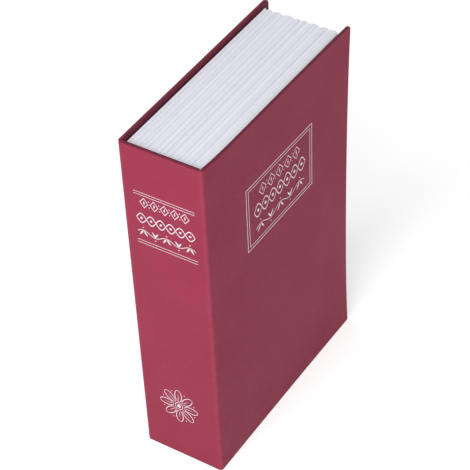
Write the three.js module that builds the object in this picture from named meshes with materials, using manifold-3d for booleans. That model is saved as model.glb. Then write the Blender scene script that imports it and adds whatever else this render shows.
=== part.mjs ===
// A book safe: a hardback case of three boards joined by two paper hinges, a moulded imitation of
// page edges on three sides, and a folded steel tray whose lid carries a cam lock.
// Units are millimetres. The book stands upright: +X runs from the spine to the fore edge,
// +Y from the front cover to the back cover, and +Z up. The origin is under the middle of the book.
import * as THREE from "three";
import { mergeVertices } from "three/addons/utils/BufferGeometryUtils.js";
import Module from "manifold-3d";

const wasm = await Module();
wasm.setup();

// Outside of the book
const BOOK_HEIGHT = 240;
const BOOK_DEPTH = 155;
const BOOK_THICKNESS = 55;
const HEAD_SQUARE = 3; // how far the covers stand past the pages at head and tail
const FORE_SQUARE = 5.5; // and at the fore edge

// Sheets that the case is made of
const COVERING = 0.3; // covering paper, outside and where it is turned in
const BOARD = 1.6; // greyboard of the two covers
const SPINE_CARD = 0.9;
const ENDPAPER = 0.2;
const GLUE = 0.05; // glue line between two sheets
const TURN_IN = 15; // covering folded over the edge of a board
const COVER_CORNER = 2; // rounded corners at the fore edge
const COVER_EDGE = 0.4; // softened edge of a covered board
const JOINT_RADIUS = 1.2; // the covering's bend at the spine's two long corners
const JOINT_REACH = 6; // loose covering on each side of that corner
const COVER_GAP = 0.3; // running clearance behind the closed front cover
const SPINE_HOLLOW = 1.45; // free space between the spine and the pages
const SPINE_LINING_INSET = 1;

// Moulded page edges
const STRIP_DEPTH = 11; // from the page face to the tray
const MOULDING = 1.6; // wall of the moulding
const LEAF_VALLEY = 0.9; // depth of the valleys between bundles of leaves
const LEAF_BUNDLES = [5.6, 5.5, 8, 5, 4, 8, 7, 5, 1.5]; // widths, front to back, shared out over the block
const LEAF_STEPS = 6; // facets across one bundle
const STRIP_RIB = 2;
const END_POCKETS = 7; // pockets between the ribs of the strips at head and tail
const FORE_POCKETS = 9; // the middle one gives the lock's tongue room to turn
const STRIP_FIT = 0.3; // clearance round the tray

// Steel tray and lid
const TRAY_SHEET = 1;
const TRAY_BEND = 3; // outside radius of the tray's upright corners
const TRAY_FLANGE = 7; // lip that the lid lies on
const LID_SHEET = 1.2;
const LID_SEAT = 0.3; // between the lid and the lip
const LID_CLEARANCE = 0.5; // between the lid and the page moulding
const LID_CORNER = 3;
const PANEL_RISE = 0.8; // pressed panel that stiffens the lid
const PANEL_SLOPE = 1;
const PANEL_MARGIN = 22; // from the lid's head, tail and hinge edges
const PANEL_TO_LOCK = 18; // from the panel to the middle of the lock

// Lid hinge
const LEAF_SHEET = 0.8;
const HINGE_PIN_RADIUS = 1;
const PIN_CLEARANCE = 0.1;
const KNUCKLES = 7;
const KNUCKLE_GAP = 0.3;
const LID_LEAF_WIDTH = 14;
const TRAY_LEAF_WIDTH = 12;
const HINGE_INSET = 2; // from the lips to the ends of the hinge

// Cam lock
const LOCK_BELOW_PAGES = 0.65; // front of the lock below the face of the pages
const LOCK_HEAD = 1.6; // thickness of the round head
const LOCK_RIM = 1.5; // head beyond the barrel
const PLUG_RADIUS = 5.5;
const PLUG_CLEARANCE = 0.2;
const PLUG_HEAD = 1.2;
const PLUG_HEAD_STEP = 1; // plug's head beyond the plug
const BARREL_WALL = 2.3; // at its threads
const FLAT_WALL = 1.2; // at the two flats that keep it from turning
const BARREL_LENGTH = 12;
const BARREL_CLEARANCE = 0.15;
const KEYWAY_WIDTH = 1.8;
const KEYWAY_WALL = 1.5; // from the keyway to the rim of the plug
const KEYWAY_DEPTH = 8;
const PLUG_TAIL = 6; // side of the square tail that carries the cam
const TAIL_CLEARANCE = 0.15;
const WASHER = 0.6;
const WASHER_RIM = 2.85;
const NUT = 3;
const NUT_WALL = 1.85;
const NUT_TO_LIP = 1;
const CAM = 2;
const CAM_WALL = 1.5; // round the corners of its square hole
const CAM_TO_BARREL = 0.15;
const CAM_PLAY = 0.5; // between the cam and the washer behind it
const CAM_BITE = 3; // how far the tongue reaches past the tray's wall
const CAM_SLOT_ROOM = 0.8; // round the tongue in its slot
const CAM_WASHER_LAP = 0.55; // washer beyond the corners of the cam's hole
const SCREW_RADIUS = 1.3;
const SCREW_CLEARANCE = 0.1;
const SCREW_HEAD = 1.7;
const SCREW_HEAD_STEP = 1.6; // screw's head beyond its shank
const SCREW_LENGTH = 6;
const SCREW_CROSS = 0.8; // width of the cross in its head
const SCREW_CROSS_WALL = 1.2; // from the cross to the rim of the head

const ROUND = 40; // facets of a turned piece
const CUT = 1; // how far a cutter runs past what it cuts

// Planes of the book
const FRONT = -BOOK_THICKNESS / 2;
const BACK = BOOK_THICKNESS / 2;
const SPINE = -BOOK_DEPTH / 2;
const FORE = BOOK_DEPTH / 2;

// Layers of a cover, as depths below its outer face
const BOARD_OUTER = COVERING + GLUE;
const BOARD_INNER = BOARD_OUTER + BOARD;
const TURN_IN_OUTER = BOARD_INNER + GLUE;
const TURN_IN_INNER = TURN_IN_OUTER + COVERING;
const ENDPAPER_OUTER = TURN_IN_INNER + GLUE;
const COVER = ENDPAPER_OUTER + ENDPAPER;

// Layers of the spine, as depths below its outer face
const CARD_INNER = BOARD_OUTER + SPINE_CARD;
const SPINE_TURN_IN_OUTER = CARD_INNER + GLUE;
const SPINE_TURN_IN_INNER = SPINE_TURN_IN_OUTER + COVERING;
const LINING_OUTER = SPINE_TURN_IN_INNER + GLUE;
const SPINE_THICKNESS = LINING_OUTER + ENDPAPER;

// The page block
const pages = {
  x0: SPINE + SPINE_THICKNESS + SPINE_HOLLOW,
  x1: FORE - FORE_SQUARE,
  y0: FRONT + COVER + COVER_GAP,
  y1: BACK - COVER - GLUE,
  z0: HEAD_SQUARE,
  z1: BOOK_HEIGHT - HEAD_SQUARE,
};

// The lid hinge's pin, and the tray and lid that follow from it
const BARREL = HINGE_PIN_RADIUS + PIN_CLEARANCE + LEAF_SHEET;
const lidFace = pages.y0 + LOCK_BELOW_PAGES + LOCK_HEAD;
const lidInside = lidFace + LID_SHEET;
const lidLeafInside = lidInside + GLUE + LEAF_SHEET;
const pin = { x: pages.x0 + BARREL, y: lidLeafInside - BARREL };
const tray = {
  x0: pin.x + BARREL + GLUE,
  x1: pages.x1 - STRIP_DEPTH - STRIP_FIT,
  y0: lidInside + LID_SEAT,
  y1: pages.y1,
  z0: pages.z0 + STRIP_DEPTH + STRIP_FIT,
  z1: pages.z1 - STRIP_DEPTH - STRIP_FIT,
};
const mouth = {
  x0: tray.x0 + TRAY_SHEET,
  x1: tray.x1 - TRAY_SHEET - TRAY_FLANGE,
  z0: tray.z0 + TRAY_SHEET + TRAY_FLANGE,
  z1: tray.z1 - TRAY_SHEET - TRAY_FLANGE,
};
const lid = {
  x0: pin.x + BARREL + KNUCKLE_GAP,
  x1: pages.x1 - STRIP_DEPTH - LID_CLEARANCE,
  z0: pages.z0 + STRIP_DEPTH + LID_CLEARANCE,
  z1: pages.z1 - STRIP_DEPTH - LID_CLEARANCE,
};
const hinge = { z0: mouth.z0 + HINGE_INSET, z1: mouth.z1 - HINGE_INSET };

// The lock, placed from the lip that its nut has to clear
const plugBore = PLUG_RADIUS + PLUG_CLEARANCE;
const barrelRadius = plugBore + BARREL_WALL;
const halfFlats = plugBore + FLAT_WALL;
const barrelHole = barrelRadius + BARREL_CLEARANCE;
const nutCorner = (barrelHole + NUT_WALL) / Math.cos(Math.PI / 6);
const lock = { x: mouth.x1 - NUT_TO_LIP - nutCorner, y: lidFace, z: BOOK_HEIGHT / 2 };
const camFront = BARREL_LENGTH + CAM_TO_BARREL;
const camBack = camFront + CAM;
const tailEnd = camBack + CAM_PLAY;
const halfTailHole = PLUG_TAIL / 2 + TAIL_CLEARANCE;
const camRadius = halfTailHole * Math.SQRT2 + CAM_WALL;
const camReach = tray.x1 - lock.x + CAM_BITE;

// Finishes
const finish = (color, roughness, metalness) =>
  new THREE.MeshStandardMaterial({ color, roughness, metalness });
const COVERING_PAPER = finish(0x9c3a55, 0.7, 0);
const GREYBOARD = finish(0x8f8a80, 0.95, 0);
const WHITE_PAPER = finish(0xe6e1d6, 0.9, 0);
const PAGE_PLASTIC = finish(0xe2e2ea, 0.55, 0);
const PAINTED_STEEL = finish(0x26272a, 0.5, 0.3);
const ZINC_STEEL = finish(0xa9abad, 0.4, 0.9);
const CHROME = finish(0xc8cacc, 0.2, 1);
const BRASS = finish(0xb08d4a, 0.35, 1);

// A closed three.js geometry as a solid that can be cut and joined.
function solid(geometry) {
  const bare = geometry.index ? geometry.toNonIndexed() : geometry.clone();
  bare.deleteAttribute("normal");
  bare.deleteAttribute("uv");
  const merged = mergeVertices(bare, 1e-4);
  return new wasm.Manifold(
    new wasm.Mesh({
      numProp: 3,
      vertProperties: merged.attributes.position.array,
      triVerts: new Uint32Array(merged.index.array),
    }),
  );
}

// A solid as a named mesh with its own copy of a finish.
function piece(name, shape, material) {
  const { numProp, vertProperties, triVerts } = shape.getMesh();
  const positions = new Float32Array((vertProperties.length / numProp) * 3);
  for (let i = 0; i < positions.length / 3; i += 1) {
    positions.set(vertProperties.subarray(i * numProp, i * numProp + 3), i * 3);
  }
  const geometry = new THREE.BufferGeometry();
  geometry.setAttribute("position", new THREE.BufferAttribute(positions, 3));
  geometry.setIndex(new THREE.BufferAttribute(new Uint32Array(triVerts), 1));
  geometry.computeVertexNormals();
  const mesh = new THREE.Mesh(geometry, material.clone());
  mesh.name = name;
  return mesh;
}

const join = (first, ...others) => others.reduce((whole, other) => whole.add(other), first);
const cut = (first, ...others) => others.reduce((whole, other) => whole.subtract(other), first);

// A block between two planes on each axis, given in either order.
function block([xa, xb], [ya, yb], [za, zb]) {
  const geometry = new THREE.BoxGeometry(Math.abs(xb - xa), Math.abs(yb - ya), Math.abs(zb - za));
  geometry.translate((xa + xb) / 2, (ya + yb) / 2, (za + zb) / 2);
  return solid(geometry);
}

// An outline in X and Z, made solid between two planes across Y.
function plate(outline, [ya, yb], bevel = 0) {
  const thickness = Math.abs(yb - ya);
  const geometry = new THREE.ExtrudeGeometry(outline, {
    depth: thickness - 2 * bevel,
    bevelEnabled: bevel > 0,
    bevelThickness: bevel,
    bevelSize: bevel,
    bevelOffset: -bevel,
    bevelSegments: 2,
    curveSegments: 6,
  });
  const toXZ = new THREE.Matrix4().makeBasis(
    new THREE.Vector3(1, 0, 0),
    new THREE.Vector3(0, 0, 1),
    new THREE.Vector3(0, -1, 0),
  );
  geometry.applyMatrix4(toXZ);
  geometry.translate(0, Math.max(ya, yb) - bevel, 0);
  return solid(geometry);
}

// An outline in X and Y, made solid between two heights.
function column(outline, [z0, z1]) {
  const settings = { depth: z1 - z0, bevelEnabled: false, curveSegments: 6 };
  const geometry = new THREE.ExtrudeGeometry(outline, settings);
  geometry.translate(0, 0, z0);
  return solid(geometry);
}

// An outline in Y and Z, made solid between two planes across X.
function beam(outline, [x0, x1]) {
  const geometry = new THREE.ExtrudeGeometry(outline, { depth: x1 - x0, bevelEnabled: false });
  const toYZ = new THREE.Matrix4().makeBasis(
    new THREE.Vector3(0, 1, 0),
    new THREE.Vector3(0, 0, 1),
    new THREE.Vector3(1, 0, 0),
  );
  geometry.applyMatrix4(toYZ);
  geometry.translate(x0, 0, 0);
  return solid(geometry);
}

// A rectangle with a radius for its two left and its two right corners.
function rounded([xa, xb], [za, zb], left, right = left) {
  const outline = new THREE.Shape();
  outline.moveTo(xa + left, za);
  outline.lineTo(xb - right, za);
  if (right > 0) outline.absarc(xb - right, za + right, right, -Math.PI / 2, 0);
  outline.lineTo(xb, zb - right);
  if (right > 0) outline.absarc(xb - right, zb - right, right, 0, Math.PI / 2);
  outline.lineTo(xa + left, zb);
  if (left > 0) outline.absarc(xa + left, zb - left, left, Math.PI / 2, Math.PI);
  outline.lineTo(xa, za + left);
  if (left > 0) outline.absarc(xa + left, za + left, left, Math.PI, 1.5 * Math.PI);
  return outline;
}

// A turned piece round the Y axis: its profile is a list of [radius, depth] that closes on itself.
function turned(profile) {
  const points = [...profile, profile[0]].map(([r, y]) => new THREE.Vector2(r, y));
  const made = solid(new THREE.LatheGeometry(points, ROUND));
  return made.volume() > 0 ? made : solid(new THREE.LatheGeometry(points.reverse(), ROUND));
}

const ring = (inner, outer, [ya, yb]) => turned([[inner, ya], [outer, ya], [outer, yb], [inner, yb]]);
const disc = (radius, [ya, yb]) => turned([[0, ya], [radius, ya], [radius, yb], [0, yb]]);

// The planes of a layer of a cover: side is -1 for the front and 1 for the back.
const coverLayer = (side, from, to) => [side * (BACK - from), side * (BACK - to)];
const spineLayer = (from, to) => [SPINE + from, SPINE + to];

const coverStart = SPINE + JOINT_RADIUS; // where the covers begin, beside the spine
const halfSpine = BACK - COVER - COVER_GAP; // half the width of the spine's card
const fullHeight = [-CUT, BOOK_HEIGHT + CUT];

function coverBoard(name, side) {
  const outline = rounded(
    [coverStart, FORE - BOARD_OUTER],
    [BOARD_OUTER, BOOK_HEIGHT - BOARD_OUTER],
    0,
    COVER_CORNER - BOARD_OUTER,
  );
  return piece(name, plate(outline, coverLayer(side, BOARD_OUTER, BOARD_INNER)), GREYBOARD);
}

// The covering round a board: a shell with room for the board, open inside its turned-in edges.
function coverSheet(side) {
  const softEdge = Math.min(COVER_EDGE, 2 * COVERING);
  const shell = plate(
    rounded([coverStart - CUT, FORE], [0, BOOK_HEIGHT], 0, COVER_CORNER),
    coverLayer(side, 0, TURN_IN_INNER),
    softEdge,
  );
  const pocketOutline = rounded(
    [coverStart - CUT, FORE - COVERING],
    [COVERING, BOOK_HEIGHT - COVERING],
    0,
    COVER_CORNER - COVERING,
  );
  const pocket = plate(pocketOutline, coverLayer(side, COVERING, TURN_IN_OUTER));
  const window = block(
    [coverStart - CUT, FORE - TURN_IN],
    coverLayer(side, BOARD_INNER, TURN_IN_INNER + CUT),
    [TURN_IN, BOOK_HEIGHT - TURN_IN],
  );
  const beside = block([coverStart - 2 * CUT, coverStart], coverLayer(side, -CUT, COVER), fullHeight);
  return cut(shell, pocket, window, beside);
}

// The covering round the spine's card, turned in at the head and the tail.
function spineSheet() {
  const across = [-halfSpine - CUT, halfSpine + CUT];
  const shell = block(spineLayer(0, SPINE_TURN_IN_INNER), [-halfSpine, halfSpine], [0, BOOK_HEIGHT]);
  const pocket = block(
    spineLayer(COVERING, SPINE_TURN_IN_OUTER),
    across,
    [COVERING, BOOK_HEIGHT - COVERING],
  );
  const window = block(
    spineLayer(CARD_INNER, SPINE_TURN_IN_INNER + CUT),
    across,
    [TURN_IN, BOOK_HEIGHT - TURN_IN],
  );
  return cut(shell, pocket, window);
}

// The loose covering that bends round one long corner of the spine.
function jointSheet(side) {
  const centre = { x: coverStart, y: side * (BACK - JOINT_RADIUS) };
  const end = 0.5 * Math.PI * (2 - side);
  const clockwise = side > 0;
  const outline = new THREE.Shape();
  outline.moveTo(SPINE, side * (BACK - JOINT_REACH));
  outline.lineTo(SPINE, centre.y);
  outline.absarc(centre.x, centre.y, JOINT_RADIUS, Math.PI, end, clockwise);
  outline.lineTo(SPINE + JOINT_REACH, side * BACK);
  outline.lineTo(SPINE + JOINT_REACH, side * (BACK - COVERING));
  outline.lineTo(centre.x, side * (BACK - COVERING));
  outline.absarc(centre.x, centre.y, JOINT_RADIUS - COVERING, end, Math.PI, !clockwise);
  outline.lineTo(SPINE + COVERING, side * (BACK - JOINT_REACH));
  return column(outline, [0, BOOK_HEIGHT]);
}

// One sheet covers the whole case. The stretch that bends when the front cover opens is its own
// piece, front_joint, and the sheet is parted at the two ends of that stretch.
function coverings() {
  const besideSpine = block(
    [SPINE - CUT, SPINE + COVERING + GLUE],
    coverLayer(-1, -CUT, JOINT_REACH + GLUE),
    fullHeight,
  );
  const besideCover = block(
    [SPINE - CUT, SPINE + JOINT_REACH + GLUE],
    coverLayer(-1, -CUT, COVERING + GLUE),
    fullHeight,
  );
  const backAndSpine = join(cut(spineSheet(), besideSpine), jointSheet(1), coverSheet(1));
  return [
    piece("case_covering", backAndSpine, COVERING_PAPER),
    piece("front_joint", jointSheet(-1), COVERING_PAPER),
    piece("front_covering", cut(coverSheet(-1), besideCover), COVERING_PAPER),
  ];
}

// The paper pasted inside a cover, thicker in the middle where it meets the board between the turn-ins.
function endpaper(name, side) {
  const sheet = block(
    [coverStart, FORE - FORE_SQUARE],
    coverLayer(side, ENDPAPER_OUTER, COVER),
    [HEAD_SQUARE, BOOK_HEIGHT - HEAD_SQUARE],
  );
  const middle = block(
    [coverStart, FORE - TURN_IN - GLUE],
    coverLayer(side, TURN_IN_OUTER, COVER),
    [TURN_IN + GLUE, BOOK_HEIGHT - TURN_IN - GLUE],
  );
  return piece(name, join(sheet, middle), WHITE_PAPER);
}

function spineCard() {
  const card = block(
    spineLayer(BOARD_OUTER, CARD_INNER),
    [-halfSpine, halfSpine],
    [BOARD_OUTER, BOOK_HEIGHT - BOARD_OUTER],
  );
  return piece("spine_card", card, GREYBOARD);
}

function spineLining() {
  const half = halfSpine - SPINE_LINING_INSET;
  const sheet = block(
    spineLayer(LINING_OUTER, SPINE_THICKNESS),
    [-half, half],
    [HEAD_SQUARE, BOOK_HEIGHT - HEAD_SQUARE],
  );
  const middle = block(
    spineLayer(SPINE_TURN_IN_OUTER, SPINE_THICKNESS),
    [-half, half],
    [TURN_IN + GLUE, BOOK_HEIGHT - TURN_IN - GLUE],
  );
  return piece("spine_lining", join(sheet, middle), WHITE_PAPER);
}

// Height of the page face, below its crests, across the thickness of the block.
function leafEdge() {
  const share = (pages.y1 - pages.y0) / LEAF_BUNDLES.reduce((sum, width) => sum + width, 0);
  const points = [];
  let start = pages.y0;
  for (const width of LEAF_BUNDLES) {
    for (let step = 0; step < LEAF_STEPS; step += 1) {
      const along = step / LEAF_STEPS;
      points.push([start + along * width * share, LEAF_VALLEY * (1 - Math.sin(Math.PI * along))]);
    }
    start += width * share;
  }
  points.push([pages.y1, LEAF_VALLEY]);
  return points;
}

// The spans between the ribs of a strip that runs from start to end.
function pocketSpans(start, end, count) {
  const length = (end - start - MOULDING * 2 - STRIP_RIB * (count - 1)) / count;
  return Array.from({ length: count }, (_, i) => {
    const from = start + MOULDING + i * (length + STRIP_RIB);
    return [from, from + length];
  });
}

// A strip of page edges at the head (side 1) or the tail (side -1), mitred at the fore edge.
function endStrip(name, side) {
  const face = side > 0 ? pages.z1 : pages.z0;
  const inside = face - side * STRIP_DEPTH;
  const outline = new THREE.Shape();
  outline.moveTo(pages.y0, inside);
  leafEdge().forEach(([y, below]) => outline.lineTo(y, face - side * below));
  outline.lineTo(pages.y1, inside);
  const mitre = (inset) => {
    const shape = new THREE.Shape();
    shape.moveTo(pages.x0 - CUT, inside - side * CUT);
    shape.lineTo(pages.x0 - CUT, face + side * CUT);
    shape.lineTo(pages.x1 - inset + CUT, face + side * CUT);
    shape.lineTo(pages.x1 - inset - STRIP_DEPTH - CUT, inside - side * CUT);
    return plate(shape, [pages.y0 - CUT, pages.y1 + CUT]);
  };
  const bar = beam(outline, [pages.x0, pages.x1]).intersect(mitre(GLUE));
  const pockets = pocketSpans(pages.x0, pages.x1, END_POCKETS).map((span) =>
    block(
      span,
      [pages.y0 + MOULDING, pages.y1 - MOULDING],
      [inside - side * CUT, face - side * (LEAF_VALLEY + MOULDING)],
    ).intersect(mitre(MOULDING * Math.SQRT2)),
  );
  return piece(name, cut(bar, ...pockets), PAGE_PLASTIC);
}

// The strip down the fore edge, mitred at both ends.
function foreStrip(name) {
  const inside = pages.x1 - STRIP_DEPTH;
  const outline = new THREE.Shape();
  outline.moveTo(inside, pages.y0);
  leafEdge().forEach(([y, below]) => outline.lineTo(pages.x1 - below, y));
  outline.lineTo(inside, pages.y1);
  const mitre = (inset) => {
    const shape = new THREE.Shape();
    shape.moveTo(inside - CUT, pages.z0 + STRIP_DEPTH + inset + CUT);
    shape.lineTo(pages.x1 + CUT, pages.z0 + inset - CUT);
    shape.lineTo(pages.x1 + CUT, pages.z1 - inset + CUT);
    shape.lineTo(inside - CUT, pages.z1 - STRIP_DEPTH - inset - CUT);
    return plate(shape, [pages.y0 - CUT, pages.y1 + CUT]);
  };
  const bar = column(outline, [pages.z0, pages.z1]).intersect(mitre(GLUE));
  const pockets = pocketSpans(pages.z0, pages.z1, FORE_POCKETS).map((span) =>
    block(
      [inside - CUT, pages.x1 - LEAF_VALLEY - MOULDING],
      [pages.y0 + MOULDING, pages.y1 - MOULDING],
      span,
    ).intersect(mitre(MOULDING * Math.SQRT2)),
  );
  return piece(name, cut(bar, ...pockets), PAGE_PLASTIC);
}

// The folded steel tray, with a lip on three sides and a slot for the lock's tongue.
function safeTray() {
  const shell = plate(rounded([tray.x0, tray.x1], [tray.z0, tray.z1], TRAY_BEND), [tray.y0, tray.y1]);
  const hollow = plate(
    rounded(
      [tray.x0 + TRAY_SHEET, tray.x1 - TRAY_SHEET],
      [tray.z0 + TRAY_SHEET, tray.z1 - TRAY_SHEET],
      TRAY_BEND - TRAY_SHEET,
    ),
    [tray.y0 + TRAY_SHEET, tray.y1 - TRAY_SHEET],
  );
  const opening = block(
    [mouth.x0, mouth.x1],
    [tray.y0 - CUT, tray.y0 + TRAY_SHEET + CUT],
    [mouth.z0, mouth.z1],
  );
  const hingeRoom = block(
    [tray.x0 - CUT, mouth.x0],
    [tray.y0 - CUT, lidLeafInside + KNUCKLE_GAP],
    [tray.z0 - CUT, tray.z1 + CUT],
  );
  const slot = block(
    [tray.x1 - TRAY_SHEET - CUT, tray.x1 + CUT],
    [lock.y + camFront - CAM_SLOT_ROOM, lock.y + camBack + CAM_SLOT_ROOM],
    [lock.z - camRadius - CAM_SLOT_ROOM, lock.z + tongueRise() + CAM_SLOT_ROOM],
  );
  return piece("safe_tray", cut(shell, hollow, opening, hingeRoom, slot), PAINTED_STEEL);
}

// How far above the lock's axis the tip of the turning tongue first meets the inside of the wall.
function tongueRise() {
  const wall = tray.x1 - TRAY_SHEET - lock.x;
  return Math.sqrt(camReach ** 2 - wall ** 2);
}

// One leaf of the lid hinge round the pin at the origin. Its flat part starts at the barrel's tangent
// and runs along +Y on the tray's wall, or along +X under the lid.
function hingeLeaf(name, width, along, first) {
  const length = hinge.z1 - hinge.z0;
  const pitch = (length + KNUCKLE_GAP) / KNUCKLES;
  const across = [BARREL - LEAF_SHEET, BARREL];
  const strip = (from, [za, zb]) =>
    along === "y" ? block(across, [from, width], [za, zb]) : block([from, width], across, [za, zb]);
  let leaf = strip(BARREL + KNUCKLE_GAP, [0, length]);
  for (let i = first; i < KNUCKLES; i += 2) {
    const span = [i * pitch, (i + 1) * pitch - KNUCKLE_GAP];
    const tube = new THREE.CylinderGeometry(BARREL, BARREL, span[1] - span[0], ROUND);
    tube.rotateX(Math.PI / 2);
    tube.translate(0, 0, (span[0] + span[1]) / 2);
    leaf = join(leaf, strip(0, span), solid(tube));
  }
  const boreRadius = HINGE_PIN_RADIUS + PIN_CLEARANCE;
  const bore = new THREE.CylinderGeometry(boreRadius, boreRadius, length + 2 * CUT, ROUND);
  bore.rotateX(Math.PI / 2);
  bore.translate(0, 0, length / 2);
  return piece(name, cut(leaf, solid(bore)), ZINC_STEEL);
}

function hingePin() {
  const length = hinge.z1 - hinge.z0;
  const rod = new THREE.CylinderGeometry(HINGE_PIN_RADIUS, HINGE_PIN_RADIUS, length, ROUND);
  rod.rotateX(Math.PI / 2);
  rod.translate(0, 0, length / 2);
  return piece("hinge_pin", solid(rod), ZINC_STEEL);
}

// The lid: a sheet with a pressed panel and a hole with two flats for the lock.
function lidPlate() {
  const sheet = plate(rounded([lid.x0, lid.x1], [lid.z0, lid.z1], 0, LID_CORNER), [lidFace, lidInside]);
  const panel = (inset) =>
    rounded(
      [lid.x0 + PANEL_MARGIN + inset, lock.x - PANEL_TO_LOCK - inset],
      [lid.z0 + PANEL_MARGIN + inset, lid.z1 - PANEL_MARGIN - inset],
      LID_CORNER,
    );
  const raised = plate(panel(0), [lidFace - PANEL_RISE, lidInside - PANEL_RISE / 2], PANEL_RISE / 2);
  const pressed = plate(panel(PANEL_SLOPE), [lidInside - PANEL_RISE, lidInside + CUT]);
  const hole = lockBarrel(BARREL_CLEARANCE, [-CUT, LID_SHEET + CUT]).translate([lock.x, lock.y, lock.z]);
  return piece("lid_plate", cut(join(sheet, raised), pressed, hole), PAINTED_STEEL);
}

// The lock's round barrel with its two flats, along Y, grown all round by a clearance.
function lockBarrel(clearance, [ya, yb]) {
  const radius = barrelRadius + clearance;
  const half = halfFlats + clearance;
  const flats = block([-half, half], [ya - CUT, yb + CUT], [-radius - CUT, radius + CUT]);
  return disc(radius, [ya, yb]).intersect(flats);
}

// The pieces of the lock lie round its own axis, along +Y, with the lid's face at zero.
const plugHead = [PLUG_CLEARANCE - LOCK_HEAD, PLUG_CLEARANCE - LOCK_HEAD + PLUG_HEAD];

function lockBody() {
  const rim = barrelRadius + LOCK_RIM;
  const head = turned([
    [0, -LOCK_HEAD],
    [rim - LOCK_HEAD / 2, -LOCK_HEAD],
    [rim, -LOCK_HEAD / 2],
    [rim, 0],
    [0, 0],
  ]);
  const seat = disc(plugBore + PLUG_HEAD_STEP, [-LOCK_HEAD - CUT, plugHead[1] + GLUE]);
  const bore = disc(plugBore, [-LOCK_HEAD, BARREL_LENGTH + CUT]);
  const barrel = lockBarrel(0, [-LOCK_HEAD / 2, BARREL_LENGTH]);
  return piece("lock_body", cut(join(head, barrel), seat, bore), CHROME);
}

function lockPlug() {
  const halfTail = PLUG_TAIL / 2;
  const halfKeyway = PLUG_RADIUS - KEYWAY_WALL;
  const head = disc(PLUG_RADIUS + PLUG_HEAD_STEP, plugHead);
  const core = disc(PLUG_RADIUS, [plugHead[0], BARREL_LENGTH]);
  const tail = block([-halfTail, halfTail], [BARREL_LENGTH, tailEnd], [-halfTail, halfTail]);
  const keyway = block(
    [-KEYWAY_WIDTH / 2, KEYWAY_WIDTH / 2],
    [plugHead[0] - CUT, plugHead[0] + KEYWAY_DEPTH],
    [-halfKeyway, halfKeyway],
  );
  const screwHole = disc(SCREW_RADIUS + SCREW_CLEARANCE, [tailEnd - SCREW_LENGTH, tailEnd + CUT]);
  return piece("lock_plug", cut(join(head, core, tail), keyway, screwHole), BRASS);
}

function lockFixings() {
  const washer = [LID_SHEET + GLUE, LID_SHEET + GLUE + WASHER];
  const nut = [washer[1] + GLUE, washer[1] + GLUE + NUT];
  const corners = Array.from({ length: 6 }, (_, i) => {
    const angle = (i * Math.PI) / 3;
    return new THREE.Vector2(nutCorner * Math.cos(angle), nutCorner * Math.sin(angle));
  });
  const hexagon = plate(new THREE.Shape(corners), nut);
  return [
    piece("lock_washer", ring(barrelHole, barrelHole + WASHER_RIM, washer), ZINC_STEEL),
    piece("lock_nut", cut(hexagon, disc(barrelHole, [nut[0] - CUT, nut[1] + CUT])), ZINC_STEEL),
  ];
}

function lockCam() {
  const tongue = new THREE.Shape();
  tongue.absarc(0, camReach - camRadius, camRadius, 0, Math.PI);
  tongue.absarc(0, 0, camRadius, Math.PI, 2 * Math.PI);
  const across = [-halfTailHole, halfTailHole];
  const hole = block(across, [camFront - CUT, camBack + CUT], across);
  return piece("lock_cam", cut(plate(tongue, [camFront, camBack]), hole), ZINC_STEEL);
}

function camFixings() {
  const washer = [tailEnd + GLUE, tailEnd + GLUE + WASHER];
  const head = [washer[1] + GLUE, washer[1] + GLUE + SCREW_HEAD];
  const headRadius = SCREW_RADIUS + SCREW_HEAD_STEP;
  const cross = [head[1] - SCREW_HEAD / 2, head[1] + CUT];
  const reach = headRadius - SCREW_CROSS_WALL;
  const half = SCREW_CROSS / 2;
  const shank = disc(SCREW_RADIUS, [tailEnd - SCREW_LENGTH + CUT, head[1]]);
  const screw = cut(
    join(disc(headRadius, head), shank),
    block([-half, half], cross, [-reach, reach]),
    block([-reach, reach], cross, [-half, half]),
  );
  const washerRadius = halfTailHole * Math.SQRT2 + CAM_WASHER_LAP;
  return [
    piece("cam_washer", ring(SCREW_RADIUS + SCREW_CLEARANCE, washerRadius, washer), ZINC_STEEL),
    piece("cam_screw", screw, ZINC_STEEL),
  ];
}

const group = (...members) => new THREE.Group().add(...members);

const hingeGroup = group(
  hingeLeaf("tray_hinge_leaf", TRAY_LEAF_WIDTH, "y", 0),
  hingeLeaf("lid_hinge_leaf", LID_LEAF_WIDTH, "x", 1),
  hingePin(),
);
hingeGroup.position.set(pin.x, pin.y, hinge.z0);

const lockGroup = group(lockBody(), lockPlug(), ...lockFixings(), lockCam(), ...camFixings());
lockGroup.position.set(lock.x, lock.y, lock.z);

const bookSafe = group(
  group(coverBoard("front_board", -1), endpaper("front_endpaper", -1)),
  group(coverBoard("back_board", 1), endpaper("back_endpaper", 1)),
  group(spineCard(), spineLining(), ...coverings()),
  group(endStrip("head_page_edge", 1), foreStrip("fore_page_edge"), endStrip("tail_page_edge", -1)),
  group(safeTray(), lidPlate(), hingeGroup, lockGroup),
);
bookSafe.name = "book_safe";

export default bookSafe;
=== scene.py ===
# %% [markdown]
# # A book that hides a safe
# The object is a hardback book that is really a small steel cash box. Its case is board covered
# in maroon paper, its page edges are a white plastic moulding, and behind the front cover lies
# a steel lid with a key lock. The working parts come from a finished model, which is loaded first
# and never moved. This lesson adds what the eye sees: paper, plastic, paint, foil and metal.

# %% Load the finished parts
import math
import random

import bmesh
import bpy
from mathutils import Matrix, Vector


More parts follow.
